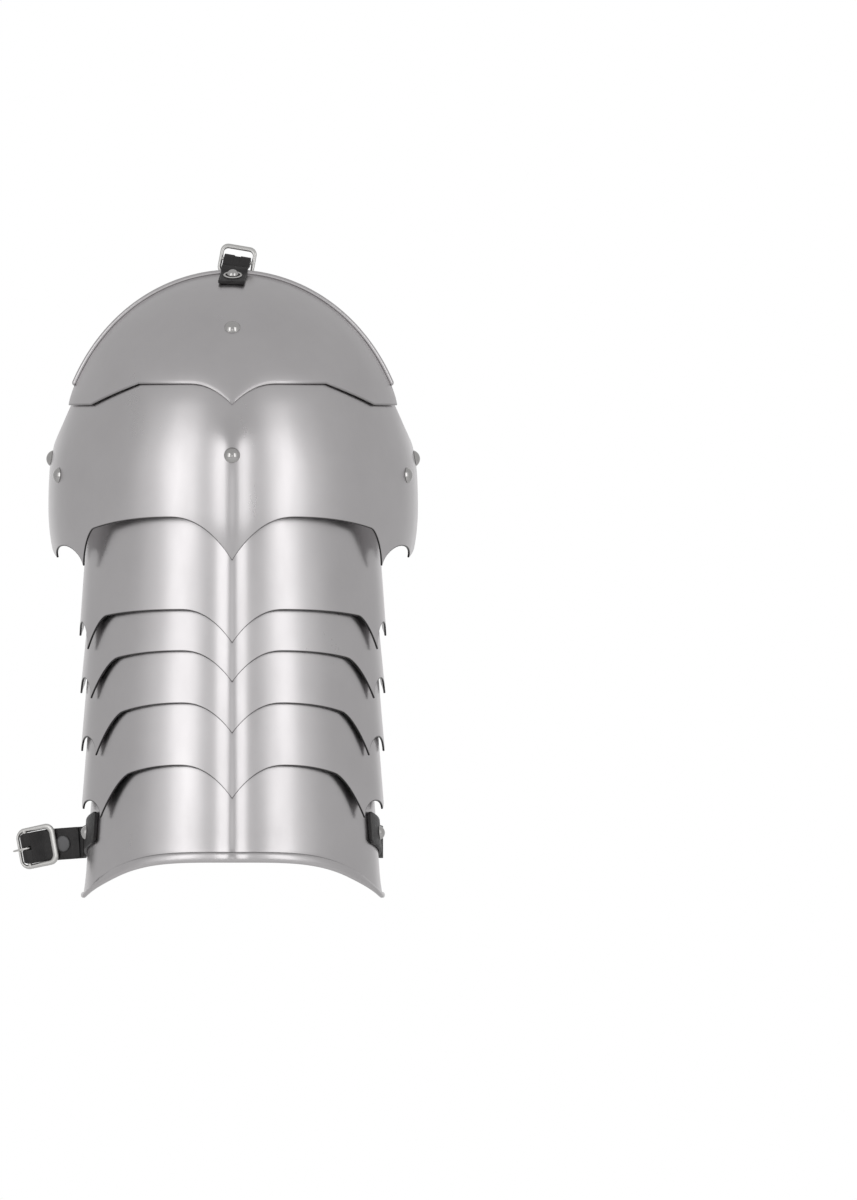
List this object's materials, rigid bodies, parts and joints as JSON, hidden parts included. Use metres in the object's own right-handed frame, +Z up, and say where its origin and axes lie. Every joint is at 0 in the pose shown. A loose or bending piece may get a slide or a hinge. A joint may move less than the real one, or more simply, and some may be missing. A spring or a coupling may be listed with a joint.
{
  "type": "spaulder",
  "caption": "Plate shoulder defence: domed cap over cusped, ridged lames on inner leathers, with neck and upper-arm straps and buckles.",
  "frame": {"origin": "on the outer face of the upper plate at the axis of the neck strap rivet", "axes": "+Z up along the hanging lames, -Y out from the arm towards the ridge that shows from outside, +X to the right seen from outside"},
  "size_m": [0.2441, 0.1513, 0.3922],
  "materials": {
    "polished_steel": "satin polished",
    "black_leather": "smooth dyed",
    "nickel": "satin nickel plate",
    "nickel_rivet": "polished nickel",
    "steel_washer": "plain",
    "dark_rivet": "matt dark grey"
  },
  "bodies": {
    "upper_plate": {"upper_plate": "polished_steel", "upper_plate_rivet": "nickel_rivet", "upper_plate_washer": "steel_washer", "neck_strap_rivet": "nickel_rivet", "neck_strap_washers": "nickel_rivet"},
    "shoulder_plate": {"shoulder_plate": "polished_steel", "shoulder_plate_rivets": "nickel_rivet", "shoulder_plate_washers": "steel_washer", "middle_leather_1": "black_leather"},
    "lame_1": {"lame_1": "polished_steel", "lame_1_rivets": "nickel_rivet", "lame_1_washers": "steel_washer", "middle_leather_2": "black_leather", "left_leather_2": "black_leather", "right_leather_2": "black_leather"},
    "lame_2": {"lame_2": "polished_steel", "lame_2_rivets": "nickel_rivet", "lame_2_washers": "steel_washer", "middle_leather_3": "black_leather", "left_leather_3": "black_leather", "right_leather_3": "black_leather"},
    "lame_3": {"lame_3": "polished_steel", "lame_3_rivets": "nickel_rivet", "lame_3_washers": "steel_washer", "middle_leather_4": "black_leather", "left_leather_4": "black_leather", "right_leather_4": "black_leather"},
    "lame_4": {"lame_4": "polished_steel", "lame_4_rivets": "nickel_rivet", "lame_4_washers": "steel_washer", "middle_leather_5": "black_leather", "left_leather_5": "black_leather", "right_leather_5": "black_leather"},
    "lame_5": {"lame_5": "polished_steel", "lame_5_rivets": "nickel_rivet", "lame_5_washers": "steel_washer", "middle_leather_6": "black_leather", "left_leather_6": "black_leather", "right_leather_6": "black_leather", "buckle_strap_end": "black_leather", "buckle_strap_rivet": "nickel_rivet", "arm_strap_end": "black_leather", "arm_strap_rivet": "nickel_rivet"},
    "neck_strap": {"neck_strap": "black_leather"},
    "neck_buckle": {"neck_buckle": "nickel"},
    "neck_tongue": {"neck_tongue": "nickel"},
    "buckle_strap": {"buckle_strap": "black_leather", "loop_rivet": "dark_rivet"},
    "arm_buckle": {"arm_buckle": "nickel"},
    "arm_tongue": {"arm_tongue": "nickel"},
    "arm_strap": {"arm_strap": "black_leather"}
  },
  "joints": [
    {"name": "shoulder_lift", "type": "hinge", "parent": "upper_plate", "child": "shoulder_plate", "pos_m": [0, 0.012, -0.12216], "axis": [-1, 0, 0], "range_deg": [0, 6], "deforming": ["middle_leather_1"]},
    {"name": "lame_1_lift", "type": "hinge", "parent": "shoulder_plate", "child": "lame_1", "pos_m": [0, 0.009, -0.19296], "axis": [-1, 0, 0], "range_deg": [0, 8], "deforming": ["middle_leather_2", "left_leather_2", "right_leather_2"]},
    {"name": "lame_2_lift", "type": "hinge", "parent": "lame_1", "child": "lame_2", "pos_m": [0, 0.009, -0.24216], "axis": [-1, 0, 0], "range_deg": [0, 8], "deforming": ["middle_leather_3", "left_leather_3", "right_leather_3"]},
    {"name": "lame_3_lift", "type": "hinge", "parent": "lame_2", "child": "lame_3", "pos_m": [0, 0.009, -0.26556], "axis": [-1, 0, 0], "range_deg": [0, 7], "deforming": ["middle_leather_4", "left_leather_4", "right_leather_4"]},
    {"name": "lame_4_lift", "type": "hinge", "parent": "lame_3", "child": "lame_4", "pos_m": [0, 0.009, -0.29616], "axis": [-1, 0, 0], "range_deg": [0, 8], "deforming": ["middle_leather_5", "left_leather_5", "right_leather_5"]},
    {"name": "lame_5_lift", "type": "hinge", "parent": "lame_4", "child": "lame_5", "pos_m": [0, 0.009, -0.33516], "axis": [-1, 0, 0], "range_deg": [0, 8], "deforming": ["middle_leather_6", "left_leather_6", "right_leather_6"]},
    {"name": "neck_strap_turn", "type": "hinge", "parent": "upper_plate", "child": "neck_strap", "pos_m": [0, 0, 0], "axis": [0, 0.3617, -0.9323], "range_deg": [-12, 0]},
    {"name": "neck_buckle_tilt", "type": "hinge", "parent": "neck_strap", "child": "neck_buckle", "pos_m": [0.00253, 0.01746, 0.01113], "axis": [0.9811, -0.0964, -0.1679], "range_deg": [0, 50]},
    {"name": "neck_tongue_tilt", "type": "hinge", "parent": "neck_buckle", "child": "neck_tongue", "pos_m": [0.00253, 0.01746, 0.01113], "axis": [0.9811, -0.0964, -0.1679], "range_deg": [0, 140]},
    {"name": "buckle_strap_swing", "type": "hinge", "parent": "lame_5", "child": "buckle_strap", "pos_m": [-0.08911, 0.02973, -0.33776], "axis": [0, 0, -1], "range_deg": [0, 110]},
    {"name": "arm_buckle_tilt", "type": "hinge", "parent": "buckle_strap", "child": "arm_buckle", "pos_m": [-0.12357, 0.04056, -0.34174], "axis": [0.1729, -0.0806, -0.9816], "range_deg": [0, 45]},
    {"name": "arm_tongue_tilt", "type": "hinge", "parent": "arm_buckle", "child": "arm_tongue", "pos_m": [-0.12357, 0.04056, -0.34174], "axis": [-0.1729, 0.0806, 0.9816], "range_deg": [0, 60]},
    {"name": "arm_strap_swing", "type": "hinge", "parent": "lame_5", "child": "arm_strap", "pos_m": [0.08911, 0.02973, -0.33776], "axis": [0, 0, 1], "range_deg": [-30, 20]}
  ]
}
